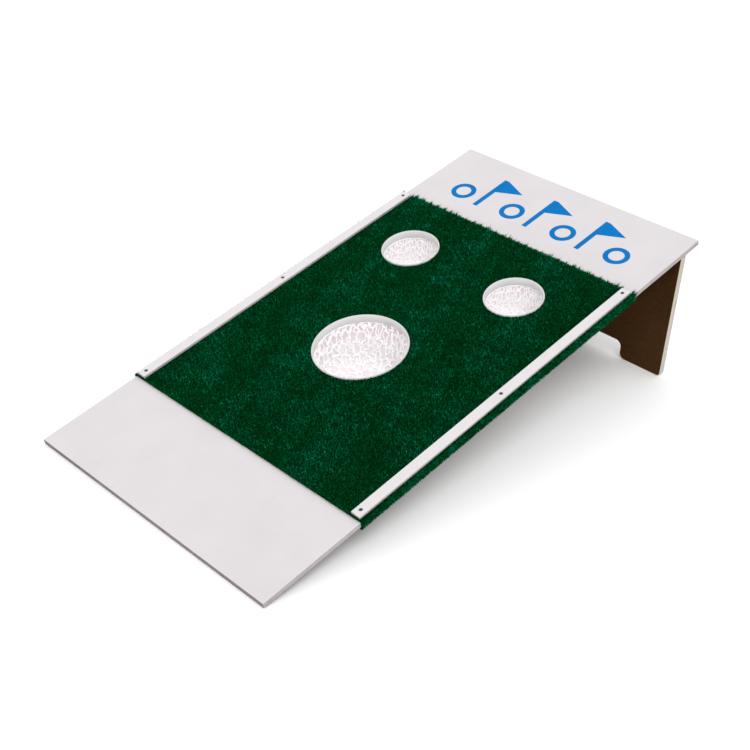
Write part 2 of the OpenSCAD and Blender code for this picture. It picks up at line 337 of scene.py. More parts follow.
def strands(paths, outward, radius, sides, closed=False):
    """Round tubes along equal-length paths, (number, points, 3): their points and four-cornered
    faces. outward is a direction near each point that isn't along the path."""
    paths = np.asarray(paths, float)
    count, steps, _ = paths.shape
    if closed:
        tangent = np.roll(paths, -1, 1) - np.roll(paths, 1, 1)
    else:
        tangent = np.gradient(paths, axis=1)
    tangent /= np.linalg.norm(tangent, axis=2)[..., None]
    across = np.cross(tangent, outward)
    across /= np.linalg.norm(across, axis=2)[..., None]
    up = np.cross(across, tangent)
    ring = across[:, :, None] * circle(sides)[:, :1] + up[:, :, None] * circle(sides)[:, 1:]
    points = (paths[:, :, None] + np.reshape(radius, (-1, 1, 1, 1)) * ring).reshape(-1, 3)
    strand = np.arange(count)[:, None, None] * steps * sides
    step = np.arange(steps if closed else steps - 1)[None, :, None] * sides
    after = (step + sides) % (steps * sides)
    far = np.arange(sides)[None, None, :]
    near = (far + 1) % sides
    quads = [strand + step + far, strand + step + near, strand + after + near, strand + after + far]
    quads = np.stack(np.broadcast_arrays(*quads), axis=3).reshape(-1, 4)
    if closed:
        return points, quads
    caps = []
    start = np.arange(count)[:, None] * steps * sides
    for i in range(sides // 2 - 1):
        cap = np.array([0, 2 * i + 1, 2 * i + 2, 2 * i + 3])
        caps.append(start + cap[::-1])
        caps.append(start + (steps - 1) * sides + cap)
    return points, np.concatenate([quads] + caps)


def joined(parts):
    """Several (points, faces) as one."""
    points, faces, first = [], [], 0
    for part_points, part_faces in parts:
        points.append(part_points)
        faces.append(part_faces + first)
        first += len(part_points)
    return np.concatenate(points), np.concatenate(faces)


# -------- materials


MIX_UNDER, MIX_OVER = 6, 7  # a mix node's two colour sockets
WAVE_TURN = 20  # radians that a wave texture turns through in one unit, at scale 1


class Look:
    """A principled material and the textures that feed it, laid out in metres."""

    def __init__(self, name, colour, rough, metal=0.0, specular=0.5, sheen=0.0):
        self.material = bpy.data.materials.new(name)
        self.material.use_nodes = True
        self.tree = self.material.node_tree
        self.tree.nodes.clear()
        self.shader = self.node("ShaderNodeBsdfPrincipled", Roughness=rough, Metallic=metal)
        self.shader.inputs["Base Color"].default_value = (*colour, 1)
        self.shader.inputs["Specular IOR Level"].default_value = specular
        self.shader.inputs["Sheen Weight"].default_value = sheen
        self.link(self.shader.outputs[0], self.node("ShaderNodeOutputMaterial").inputs[0])
        self.material.diffuse_color = (*colour, 1)
        self.place = self.colour = self.normal = None

    def node(self, kind, **values):
        """A new node, with values for its sockets or, where no socket has the name, its settings."""
        made = self.tree.nodes.new(kind)
        for key, value in values.items():
            if key in made.inputs:
                made.inputs[key].default_value = value
            else:
                setattr(made, key, value)
        return made

    def link(self, a, b):
        self.tree.links.new(a, b)

    def coordinates(self, stretch=(1, 1, 1)):
        if self.place is None:
            self.place = self.node("ShaderNodeTexCoord").outputs["Object"]
        mapping = self.node("ShaderNodeMapping", Scale=stretch)
        self.link(self.place, mapping.inputs["Vector"])
        return mapping.outputs["Vector"]

    def spread(self, value, low, high, start=0.0, end=1.0):
        """A value that goes from start at low to end at high."""
        made = self.node("ShaderNodeMapRange")
        for i, number in enumerate((low, high, start, end)):
            made.inputs[i + 1].default_value = number
        self.link(value, made.inputs["Value"])
        return made.outputs["Result"]

    def noise(self, size, detail=3.0, rough=0.5, stretch=(1, 1, 1), low=0.35, high=0.65):
        """Noise whose grains are about size metres, spread from 0 at low to 1 at high."""
        texture = self.node("ShaderNodeTexNoise", Scale=1 / size, Detail=detail, Roughness=rough)
        self.link(self.coordinates(stretch), texture.inputs["Vector"])
        return self.spread(texture.outputs["Fac"], low, high)

    def cells(self, size, low, high):
        """Cells of about size metres: 0 at low from their middles, and 1 at high."""
        texture = self.node("ShaderNodeTexVoronoi", Scale=1 / size)
        self.link(self.coordinates(), texture.inputs["Vector"])
        return self.spread(texture.outputs["Distance"], low, high)

    def above_deck(self, low, high):
        """0 at the low distance from the deck's underside and 1 at the high one."""
        normal = DECK.to_3x3() @ Vector((0, 0, 1))
        along = self.node("ShaderNodeVectorMath", operation="DOT_PRODUCT")
        along.inputs[1].default_value = normal
        self.link(self.coordinates(), along.inputs[0])
        start = normal.dot(DECK.translation)
        return self.spread(along.outputs["Value"], start + low, start + high)

    def waves(self, size, direction):
        """Bands of size metres across a direction."""
        texture = self.node("ShaderNodeTexWave", Scale=math.pi / WAVE_TURN / size, bands_direction=direction)
        self.link(self.coordinates(), texture.inputs["Vector"])
        return texture.outputs["Fac"]

    def times(self, a, b):
        made = self.node("ShaderNodeMath", operation="MULTIPLY")
        for value, socket in zip((a, b), made.inputs):
            if isinstance(value, (int, float)):
                socket.default_value = value
            else:
                self.link(value, socket)
        return made.outputs[0]

    def tint(self, factor, colour, amount=1.0):
        """Lays a colour over what is there, where the factor says."""
        mix = self.node("ShaderNodeMix", data_type="RGBA")
        if self.colour is None:
            mix.inputs[MIX_UNDER].default_value = self.shader.inputs["Base Color"].default_value
        else:
            self.link(self.colour, mix.inputs[MIX_UNDER])
        mix.inputs[MIX_OVER].default_value = (*colour, 1)
        self.link(self.times(factor, amount), mix.inputs["Factor"])
        self.colour = mix.outputs["Result"]
        self.link(self.colour, self.shader.inputs["Base Color"])

    def roughen(self, factor, low, high):
        self.link(self.spread(factor, 0.0, 1.0, low, high), self.shader.inputs["Roughness"])

    def bump(self, height, depth):
        """Raises the surface by depth metres where height is 1."""
        made = self.node("ShaderNodeBump", Distance=depth)
        self.link(height, made.inputs["Height"])
        if self.normal is not None:
            self.link(self.normal, made.inputs["Normal"])
        self.normal = made.outputs["Normal"]
        self.link(self.normal, self.shader.inputs["Normal"])


def white_facing(name, colour):
    """Smooth white facing: faint mottling, hairline scuffs and orange peel."""
    look = Look(name, colour, 0.42, specular=0.35)
    look.tint(look.noise(0.09, detail=4, low=0.4, high=0.75), [c * 0.955 for c in colour])
    scuffs = look.noise(0.012, detail=5, stretch=(1, 0.12, 0.12), low=0.66, high=0.74)
    look.tint(scuffs, [c * 0.9 for c in colour], 0.5)
    look.roughen(look.noise(0.03, detail=4), 0.36, 0.52)
    look.bump(look.noise(0.0022, detail=2), 0.00003)
    return look.material


def brown_hardboard():
    """The bare brown board: broad lighter patches, short fibres and dark flecks."""
    look = Look("brown_hardboard", (0.036, 0.0142, 0.0038), 0.75, specular=0.06)
    look.tint(look.noise(0.24, low=0.42, high=0.68), (0.060, 0.0265, 0.0075))
    fibres = look.noise(0.0035, detail=5, rough=0.7, stretch=(0.35, 1, 1), low=0.42, high=0.7)
    look.tint(fibres, (0.072, 0.032, 0.010), 0.65)
    flecks = look.noise(0.0014, detail=2, low=0.62, high=0.72)
    look.tint(flecks, (0.018, 0.007, 0.002), 0.6)
    look.roughen(look.noise(0.02, detail=4), 0.6, 0.82)
    look.bump(fibres, 0.00012)
    return look.material


def board_core():
    """The leg's cut edge, between its facings."""
    look = Look("board_core", (0.50, 0.47, 0.345), 0.75, specular=0.1)
    layers = look.noise(0.004, detail=5, stretch=(1, 6, 1), low=0.4, high=0.7)
    look.tint(layers, (0.40, 0.36, 0.24), 0.6)
    look.bump(layers, 0.0001)
    return look.material


def shaded_worn_edge(name, colour):
    """The edges of painted pieces: a darker copy of their white, as painted shade on their sides, rubbed a
    little darker here and there.
    """
    look = Look(name, colour, 0.5, specular=0.3)
    look.tint(look.noise(0.018, detail=6, low=0.5, high=0.72), [c * 0.80 for c in colour], 0.8)
    look.roughen(look.noise(0.01, detail=4), 0.42, 0.62)
    look.bump(look.noise(0.0015), 0.00005)
    return look.material


def near_edge_shade():
    """The deck's near edge, which lies on the ground: painted shade, a dark grey in place of the white, with
    lighter patches.
    """
    look = Look("near_edge_shade", (0.20, 0.163, 0.177), 0.7, specular=0.2)
    look.tint(look.noise(0.02, detail=5, low=0.4, high=0.7), (0.27, 0.230, 0.240), 0.7)
    look.bump(look.noise(0.0015), 0.00008)
    return look.material


def batten_paint():
    """Satin white paint over a fine grain."""
    look = Look("batten_paint", (0.615, 0.592, 0.597), 0.4, specular=0.35)
    grain = look.noise(0.0018, detail=4, stretch=(1, 0.06, 0.25), low=0.4, high=0.7)
    look.tint(grain, (0.555, 0.532, 0.538), 0.5)
    look.tint(look.noise(0.05, detail=5, low=0.55, high=0.8), (0.53, 0.505, 0.51), 0.5)
    look.roughen(look.noise(0.02), 0.34, 0.5)
    look.bump(grain, 0.00004)
    return look.material


def blue_vinyl():
    """The satin film that the graphic is cut from."""
    look = Look("blue_vinyl", (0.0004, 0.150, 0.440), 0.5, specular=0.03)
    look.tint(look.noise(0.03), (0.0004, 0.140, 0.415))
    look.roughen(look.noise(0.006, detail=4), 0.44, 0.58)
    look.bump(look.noise(0.001, detail=2), 0.00001)
    return look.material


def ring_plastic(name, colour):
    """Smooth moulded plastic, a little uneven."""
    look = Look(name, colour, 0.45, specular=0.35)
    look.tint(look.noise(0.03, detail=4), [c * 0.93 for c in colour], 0.6)
    look.roughen(look.noise(0.01, detail=4), 0.38, 0.55)
    look.bump(look.noise(0.0012, detail=2), 0.00002)
    return look.material


def net_yarn(name, colour):
    """Twisted yarn. Its colour is even, so only its surface has the twist."""
    look = Look(name, colour, 0.75, specular=0.2, sheen=0.3)
    look.bump(look.noise(0.0009, detail=2, stretch=(1, 1, 0.6)), 0.00018)
    return look.material


def net_lining_look(name, low, white, wall_shade):
    """Fine white knit, with painted shade in a pinker grey on the wall of a bag, above low."""
    look = Look(name, white, 0.85, specular=0.1, sheen=0.2)
    # painted shade on the bag's wall, darker and pinker than its floor
    look.tint(look.above_deck(low, -0.012), wall_shade, 0.95)
    pores = look.cells(0.0019, 0.15, 0.5)
    look.tint(pores, [c * 0.86 for c in wall_shade], 0.25)
    look.tint(look.noise(0.012, detail=4), [c * 0.9 for c in wall_shade], 0.25)
    look.bump(pores, 0.0003)
    return look.material


def webbing():
    """Woven tape."""
    look = Look("webbing", (0.78, 0.76, 0.74), 0.85, specular=0.15, sheen=0.2)
    weave = look.times(look.waves(0.0022, "X"), look.waves(0.0022, "Y"))
    look.tint(weave, (0.60, 0.58, 0.56), 0.6)
    look.bump(weave, 0.0004)
    return look.material


def steel(name, colour, rough, brushed):
    """Metal with streaks, drawn out as brushed says, and duller spots."""
    look = Look(name, colour, rough, metal=0.9)
    streaks = look.noise(0.0012, stretch=brushed)
    look.tint(streaks, [c * 0.78 for c in colour], 0.6)
    look.tint(look.noise(0.006, detail=5, low=0.5, high=0.75), [c * 0.62 for c in colour], 0.5)
    look.roughen(look.noise(0.003, detail=4), rough * 0.8, rough * 1.35)
    look.bump(streaks, 0.00002)
    return look.material


def turf_backing_look():
    """Coarse dark threads."""
    look = Look("turf_backing", (0.0008, 0.020, 0.006), 0.95, specular=0.0)
    threads = look.noise(0.0016)
    look.tint(threads, (0.0004, 0.010, 0.003))
    look.bump(threads, 0.0004)
    return look.material


# Colours of the pile, from the shaded roots to the lightest tips, with how common each is
PILE_COLOURS = [
    ((0.0003, 0.0430, 0.0080), 0.14),
    ((0.0003, 0.0640, 0.0110), 0.22),
    ((0.0004, 0.0810, 0.0170), 0.24),
    ((0.0005, 0.1010, 0.0250), 0.20),
    ((0.0006, 0.1230, 0.0440), 0.12),
    ((0.0010, 0.1550, 0.0450), 0.055),
    ((0.0010, 0.1950, 0.0950), 0.018),
    ((0.0040, 0.2750, 0.1550), 0.007),
]


def pile_looks():
    """One even colour to a blade, which is only a millimetre wide: the mixture makes the pattern."""
    looks = [Look(f"pile_{i}", colour, 0.8, specular=0.0) for i, (colour, _) in enumerate(PILE_COLOURS)]
    return [look.material for look in looks]


WHITE = white_facing("white_facing", (0.580, 0.554, 0.562))
WHITE_LEG = white_facing("white_leg_facing", (0.59, 0.566, 0.573))
BROWN = brown_hardboard()
CORE = board_core()
# Painted shade: the sides of the deck, leg and battens get these darker copies of their whites
EDGE = shaded_worn_edge("shaded_worn_edge", (0.42, 0.378, 0.388))
BATTEN_EDGE = shaded_worn_edge("batten_edge", (0.53, 0.495, 0.500))
NEAR_SHADE = near_edge_shade()
BATTEN = batten_paint()
BLUE = blue_vinyl()
RING = ring_plastic("ring_plastic", (0.70, 0.69, 0.69))
# Painted shade: the lip, which catches the most light, is a darker copy of the ring plastic
LIP_SHADE = ring_plastic("ring_lip_shade", (0.60, 0.585, 0.59))
YARN = net_yarn("net_yarn", (0.965, 0.95, 0.955))
# The second colour of each is the painted shade on its bag's wall
LININGS = {
    "large": net_lining_look("large_net_lining", -0.045, (0.875, 0.855, 0.862), (0.72, 0.60, 0.64)),
    "small": net_lining_look("small_net_lining", -0.035, (0.91, 0.89, 0.895), (0.75, 0.645, 0.675)),
}
WEBBING = webbing()
ZINC = steel("zinc_plate", (0.55, 0.56, 0.57), 0.34, (0.08, 1, 1))
SCREW = steel("dark_screw", (0.14, 0.15, 0.18), 0.45, (1, 1, 1))
BACKING = turf_backing_look()
PILE = pile_looks()


# -------- boards


def deck_panel():
    """The deck: white on top, bare underneath, and with painted shade along its near edge."""
    low, high = deck_box("deck_board")
    levels = rounded_levels(high[2] - low[2], DECK_ROUND)
    mesh = plate("deck_panel", board_loops("deck_board", DECK), levels, cap_index=(2, 0))
    # the near edge's faces get the painted shade
    for face in mesh.polygons:
        if face.normal.y < -0.9 and face.center.y < low[1] + 1 * MM:
            face.material_index = 3
    mesh.transform(DECK)
    piece = finish_object(mesh, [WHITE, EDGE, BROWN, NEAR_SHADE], "deck")
    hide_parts("deck_board")


def leg_board():
    """The leg: white outside, brown inside, with the board's core along its edge. Its top slopes
    with the deck that it meets."""
    thickness = local("leg_panel", LEG)[:, 2].max()
    loops = board_loops("leg_panel", LEG)
    levels = rounded_levels(thickness, LEG_ROUND, crown=2)
    levels.insert(len(levels) // 2, (thickness * CORE_FROM, 0, 2))
    mesh = plate("leg_board", loops, levels, cap_index=(0, 3))
    top = loops[0][:, 1].max()
    for v in mesh.vertices:
        if v.co.y > top - 5 * MM:
            v.co.y += (thickness - v.co.z) * math.tan(TILT)
    mesh.transform(LEG)
    piece = finish_object(mesh, [WHITE_LEG, EDGE, CORE, BROWN], "leg")
    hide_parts("leg_panel")


def batten(side):
    """One of the strips that hold the turf's sides, with its three screw holes."""
    node = f"{side}_batten"
    low, high = deck_box(node)
    levels = rounded_levels(high[2] - low[2], BATTEN_ROUND)
    mesh = plate(f"{side}_batten_strip", face_loops(node, DECK), levels)
    mesh.transform(DECK @ Matrix.Translation((0, 0, low[2])))
    piece = finish_object(mesh, [BATTEN, BATTEN_EDGE], "deck")
    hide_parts(node)


# -------- rings, nets and hems


class Hole:
    """A hole's middle on the deck's underside and its sizes, read from its ring and bag."""

    def __init__(self, side):
        self.side = side
        low, high = deck_box(f"{side}_hole_liner")
        self.middle = np.array([(low[0] + high[0]) / 2, (low[1] + high[1]) / 2, 0.0])
        self.radius = (high[0] - low[0]) / 2
        self.height = high[2]
        bag_low, bag_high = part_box(f"{side}_net_bag")
        self.bag_radius = (bag_high.x - bag_low.x) / 2
        self.world = placed(self.middle, DECK)
        self.depth = self.world[2] - bag_low.z
        self.profile = self.bag_profile()
        self.along = distances(self.profile)
        self.reach = self.along[-1]

    def bag_profile(self):
        """The bag's side as (radius, height), from the middle of its floor to its mouth."""
        wall = self.bag_radius - 2.2 * MM
        depth = self.depth - 2.0 * MM
        sag = 4 * MM
        turn = depth * 0.42
        floor = wall * 0.9 - turn
        points = [(floor * t, sag * t**2 - depth) for t in np.linspace(0, 1, 5)]
        points += arc((floor, sag + turn - depth), turn, -math.pi / 2, 0, 8)[1:]
        return np.array(points + [(wall, -5 * MM), (wall, 0.0)])


HOLES = {side: Hole(side) for side in ("large", "left", "right")}


def hole_ring(hole):
    """The lining of a hole, with a rounded lip at its top, which has painted shade, and a small round at its
    foot.
    """
    outer, inner, top = hole.radius, hole.radius - RING_WALL, hole.height
    lip = RING_WALL / 2
    outline = [(outer, 0.4 * MM)] + arc((outer - lip, top - lip), lip, 0, math.pi, 8)
    outline += [(inner, 0.6 * MM), (inner + 0.6 * MM, 0.0), (outer - 0.4 * MM, 0.0)]
    mesh = lathe(f"{hole.side}_ring", outline, hole.middle, turns=160)
    flat = DECK.inverted()
    # the lip's faces get the painted shade
    for face in mesh.polygons:
        if (flat @ face.center).z > top - LIP_SHADE_DEPTH:
            face.material_index = 1
    piece = finish_object(mesh, [RING, LIP_SHADE], "deck")
    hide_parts(f"{hole.side}_hole_liner")


def hang(hole, flat, offset, seed):
    """Points of a flat round piece of netting, as they hang in the bag, and the way outward. The
    cloth is pleated near the bag's mouth and puckered on its floor."""
    far = np.minimum(np.hypot(flat[..., 0], flat[..., 1]), hole.reach)
    angle = np.arctan2(flat[..., 1], flat[..., 0])
    r, z, out_r, out_z = followed(hole.profile, hole.along, far, step=MM)
    raised = np.clip(1 + z / hole.depth, 0, 1)  # 0 on the bag's floor and 1 at its mouth
    pleat = (np.sin(PLEATS[0] * angle + seed) + np.sin(PLEATS[1] * angle + 2 * seed + 25 * z)) / 2
    pucker = np.sin(PUCKERS[0] * flat[..., 0] + seed) * np.sin(PUCKERS[1] * flat[..., 1] + 2 * seed)
    push = offset - (1 + pleat) * PLEAT_DEPTH * raised + pucker * PUCKER_DEPTH * (1 - raised)
    r = np.minimum(r + out_r * push, hole.bag_radius - 0.6 * MM)
    z = z + out_z * push
    tilted = np.clip(1 + z / (hole.depth * 0.75), 0, 1)  # the mouth is tilted as the deck is
    x, y = r * np.cos(angle), r * np.sin(angle)
    z = z + tilted * y * math.tan(TILT)
    points = np.stack([x, y, z], axis=-1) + hole.world
    outward = np.stack([out_r * np.cos(angle), out_r * np.sin(angle), out_z], axis=-1)
    return points, outward


def honeycomb(radius, cell, rng):
    """The strands of a round piece of netting: pairs of knots, (number, 2, 2)."""
    edge = cell / math.sqrt(3)
    count = int(radius / cell * 1.6) + 3  # enough cells to cover the circle and more
    i, j = np.meshgrid(np.arange(-2 * count, 2 * count + 1), np.arange(-count, count + 1), indexing="ij")
    wobble = rng.normal(0, KNOT_WOBBLE * edge, (2, *i.shape, 2)).clip(-edge * 0.4, edge * 0.4)

    def knot(kind, di, dj):
        a, b = i + di, j + dj
        x = cell * a + cell / 2 * b
        y = cell * math.sqrt(3) / 2 * b + (edge if kind == 0 else -edge)
        row = np.clip(a + 2 * count, 0, 4 * count)
        column = np.clip(b + count, 0, 2 * count)
        return np.stack([x, y], axis=-1) + wobble[kind][row, column]

    start = knot(0, 0, 0)
    ends = [knot(1, 0, 1), knot(1, -1, 1), knot(1, -1, 2)]
    pairs = np.concatenate([np.stack([start, e], axis=2).reshape(-1, 2, 2) for e in ends])
    pairs = pairs[np.linalg.norm(pairs, axis=2).min(1) < radius]
    far = np.linalg.norm(pairs, axis=2)
    return pairs * np.minimum(1, radius / np.maximum(far, 1e-9))[..., None]


def wavy(pairs, rng):
    """Strands between pairs of knots, each curved its own way by one, two and three half waves."""
    t = np.linspace(0, 1, 11)[None, :, None]
    start, end = pairs[:, :1], pairs[:, 1:]
    side = (end - start)[..., ::-1] * np.array([-1, 1])
    path = start + (end - start) * t
    for halves, share in ((1, 1.0), (2, 0.7), (3, 0.45)):
        bow = rng.normal(0, STRAND_BEND * share, (len(pairs), 1, 1))
        path = path + side * bow * np.sin(halves * math.pi * t)
    return path


def knots(pairs):
    """The places where strands meet, each once."""
    ends = pairs.reshape(-1, 2)
    same = 0.2 * MM
    _, first = np.unique(np.round(ends / same).astype(int), axis=0, return_index=True)
    return ends[first]


def balls(centres, radius):
    """Small round knots at these places, from a cube's faces pushed out to a sphere."""
    points, faces = [], []
    for axis in range(3):
        for end in (-1.0, 1.0):
            first = len(points)
            for u, v in itertools.product((-1.0, 0.0, 1.0), repeat=2):
                p = np.roll([end, u, v], axis)
                points.append(p / np.linalg.norm(p))
            for i, j in itertools.product(range(2), repeat=2):
                quad = [first + 3 * i + j + k for k in (0, 3, 4, 1)]
                faces.append(quad if end > 0 else quad[::-1])
    points, faces = np.array(points), np.array(faces)
    keys, back = np.unique(np.round(points, 5), axis=0, return_inverse=True)
    faces = back.reshape(-1)[faces]
    made = centres[:, None] + keys[None] * radius.reshape(-1, 1, 1)
    first = np.arange(len(centres))[:, None, None] * len(keys)
    return made.reshape(-1, 3), (faces[None] + first).reshape(-1, 4)


def netting(hole, cell, cord_r, seed):
    """One layer of a net bag's knotted cords, drawn out towards the mouth."""
    rng = np.random.default_rng(seed)
    pairs = honeycomb(hole.reach, cell, rng)
    far = np.linalg.norm(pairs, axis=2, keepdims=True)
    pairs = pairs * (far / hole.reach) ** (CELL_STRETCH - 1)
    sunk = LINING_OUT - CORD_PROUD * cord_r
    paths, outward = hang(hole, wavy(pairs, rng), sunk, seed)
    cords = strands(paths, outward, cord_r * rng.uniform(0.8, 1.2, len(paths)), 6)
    places, _ = hang(hole, knots(pairs), sunk, seed)
    return [cords, balls(places, cord_r * rng.uniform(1.15, 1.5, len(places)))]


def net_cords(hole, cell, cord_r, seed):
    """The two layers of a net bag's netting and the border cord round its mouth."""
    made = netting(hole, cell, cord_r, seed)
    made += netting(hole, cell * LAYER_CELL, cord_r * LAYER_CORD, seed + 50)
    paths, outward = hang(hole, hole.reach * circle(96)[None], 0.0, seed)
    paths[..., 2] -= BORDER_R + 0.2 * MM
    made.append(strands(paths, outward, BORDER_R, 8, closed=True))
    mesh = quick_mesh(f"{hole.side}_net_cords", *joined(made))
    return finish_object(mesh, [YARN], "deck")


def net_lining(hole, seed):
    """The fine knitted bag that the cords lie in: one puckered cloth, pushed down into a bag."""
    turns = int(2 * math.pi * hole.radius / LINING_GRID[0])
    rows = int(hole.reach / LINING_GRID[1])
    far = hole.reach * np.arange(1, rows + 1) / rows
    points, _ = hang(hole, far[:, None, None] * circle(turns)[None], LINING_OUT, seed)
    middle, _ = hang(hole, np.full((1, 2), 1e-6), LINING_OUT, seed)
    points = np.concatenate([points.reshape(-1, 3), middle])
    i, k = np.meshgrid(np.arange(rows - 1) * turns, np.arange(turns), indexing="ij")
    after = (k + 1) % turns
    quads = np.stack([i + k, i + turns + k, i + turns + after, i + after], axis=2)
    k = np.arange(turns)
    cap = np.stack([np.full(turns, rows * turns), k, (k + 1) % turns], axis=1)
    corners = np.concatenate([quads.ravel(), cap.ravel()])
    sizes = np.repeat([4, 3], [quads.size // 4, turns])
    mesh = quick_mesh(f"{hole.side}_net_lining", points, corners, sizes)
    lining = LININGS["large" if hole.side == "large" else "small"]
    piece = finish_object(mesh, [lining], "deck")
    solid = piece.modifiers.new("thickness", "SOLIDIFY")
    solid.thickness = LINING_T
    solid.offset = 0
    return piece


def net_bag(hole, cell, cord_r, seed):
    """A net bag: its lining, the cords on it and the webbing ring that holds its edge."""
    cords = net_cords(hole, cell, cord_r, seed)
    lining = net_lining(hole, seed)
    hem = net_hem(hole)
    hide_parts(f"{hole.side}_net_bag")


def net_hem(hole):
    """The webbing ring that holds a bag's edge, flat against the underside."""
    low, high = deck_box(f"{hole.side}_net_hem")
    outer = (high[0] - low[0]) / 2
    inner = hole.bag_radius + 0.3 * MM
    thick, r = -low[2], 0.7 * MM
    outline = []
    corners = [(outer - r, -r), (inner + r, -r), (inner + r, -thick + r), (outer - r, -thick + r)]
    for k, corner in enumerate(corners):
        outline += arc(corner, r, math.pi / 2 * k, math.pi / 2 * (k + 1), 3)
    mesh = lathe(f"{hole.side}_hem", outline[::-1], hole.middle, turns=128)
    piece = finish_object(mesh, [WEBBING], "deck")
    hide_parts(f"{hole.side}_net_hem")
    return piece


# -------- turf


class Wrap:
    """The line that the turf's backing follows across the deck: s runs from the end of the right
    return, round both sides, to the end of the left return."""

    def __init__(self):
        high = deck_box("deck_board")[1]
        turf_low, turf_high = deck_box("turf_mat")
        self.half, self.thick = high[0], high[2]
        self.start, self.end = turf_low[1], turf_high[1]
        self.pile_top = turf_high[2] - self.thick
        right = [(self.half - self.return_width(), -BACKING_T)]
        right += arc((self.half, 0), BACKING_T, -math.pi / 2, 0, 6)
        right += arc((self.half, self.thick), BACKING_T, 0, math.pi / 2, 6)
        self.line = np.array(right + [(-x, z) for x, z in reversed(right)])
        self.along = distances(self.line)
        self.length = self.along[-1]

    def return_width(self):
        """How far the turf is turned in under the deck, from the CAD solid's own points."""
        points = local("turf_mat", DECK)
        under = points[points[:, 2] < -1 * MM]
        return self.half - np.abs(under[:, 0]).min()

    def at(self, s):
        """Place (x, z) and outward normal of the backing's outer face at s."""
        return followed(self.line, self.along, s, step=0.3 * MM)


WRAP = Wrap()
BATTEN_BOXES = [deck_box("left_batten"), deck_box("right_batten")]


def turf_backing():
    """The woven backing: one cloth, turned round both sides of the deck, with three holes cut."""
    half = len(WRAP.line) // 2
    rows = 76
    v = np.linspace(WRAP.start + 1 * MM, WRAP.end - 1 * MM, rows)
    bm = bmesh.new()
    sides = []
    for side in (WRAP.line[:half], WRAP.line[half:]):
        grid = [[bm.verts.new((x, y, z)) for y in v] for x, z in side]
        for a, b in zip(grid, grid[1:]):
            for k in range(rows - 1):
                bm.faces.new((a[k], a[k + 1], b[k + 1], b[k]))
        sides.append(grid)
    right_edge, left_edge = sides[0][-1], sides[1][0]
    edges = [bm.edges.get(pair) for edge in (right_edge, left_edge) for pair in zip(edge, edge[1:])]
    edges += [bm.edges.new((right_edge[end], left_edge[end])) for end in (0, -1)]
    for hole in HOLES.values():
        flat = hole.middle[:2] + (hole.radius + 0.2 * MM) * circle(96)
        ring = [bm.verts.new((x, y, WRAP.thick + BACKING_T)) for x, y in flat]
        edges += [bm.edges.new(pair) for pair in zip(ring, ring[1:] + ring[:1])]
    bmesh.ops.triangle_fill(bm, use_beauty=True, use_dissolve=False, edges=edges)
    mesh = finish_mesh("turf_backing", bm)
    if max(mesh.polygons, key=lambda f: f.area).normal.z < 0:
        mesh.flip_normals()
    mesh.transform(DECK)
    piece = finish_object(mesh, [BACKING], "deck")
    solid = piece.modifiers.new("thickness", "SOLIDIFY")
    solid.thickness = BACKING_T - 0.15 * MM
    solid.offset = -1
    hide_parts("turf_mat")
    return piece


def patches(x, y, rng, sizes, weights):
    """Smooth random patches over a plane, about -1 to 1. Each size of them is a sum of seven waves."""
    total = np.zeros_like(x)
    for size, weight in zip(sizes, weights):
        for _ in range(7):
            a = rng.uniform(0, 2 * math.pi)
            k = 2 * math.pi / size * rng.uniform(0.6, 1.4)
            total += weight * np.sin(k * (x * math.cos(a) + y * math.sin(a)) + rng.uniform(0, 7))
    return total / (sum(weights) * 2.6)


def sown(rng):
    """Where the blades stand: evenly over the turf as measured at their tips, with more of them
    along its two cut ends."""
    tips = WRAP.line + np.stack(WRAP.at(WRAP.along)[2:], axis=1) * WRAP.pile_top
    along_tips = distances(tips)
    s = np.interp(rng.uniform(0, along_tips[-1], BLADES), along_tips, WRAP.along)
    y = rng.uniform(WRAP.start, WRAP.end, BLADES)
    ends = int(BLADES * END_SHARE)
    y[:ends] = WRAP.end - rng.uniform(0, END_LEAN * 0.8, ends)
    y[ends : 2 * ends] = WRAP.start + rng.uniform(0, END_LEAN * 0.6, ends)
    return s, y


def room_for_pile(x, y, z, nz):
    """Where blades can stand: not over a hole or a net's hem, nor under a batten."""
    room = np.ones(len(x), bool)
    for hole in HOLES.values():
        away = np.hypot(x - hole.middle[0], y - hole.middle[1])
        room &= (away > hole.radius + 0.5 * MM) | (nz < -0.5) & (away > hole.bag_radius + 12 * MM)
    top = (z > WRAP.thick) & (np.abs(x) < WRAP.half)
    for low, high in BATTEN_BOXES:
        under = (x > low[0] - 0.4 * MM) & (x < high[0] + 0.3 * MM)
        under &= (y > low[1] - 0.5 * MM) & (y < high[1] + 4 * MM)
        room &= ~(under & top)
    return room


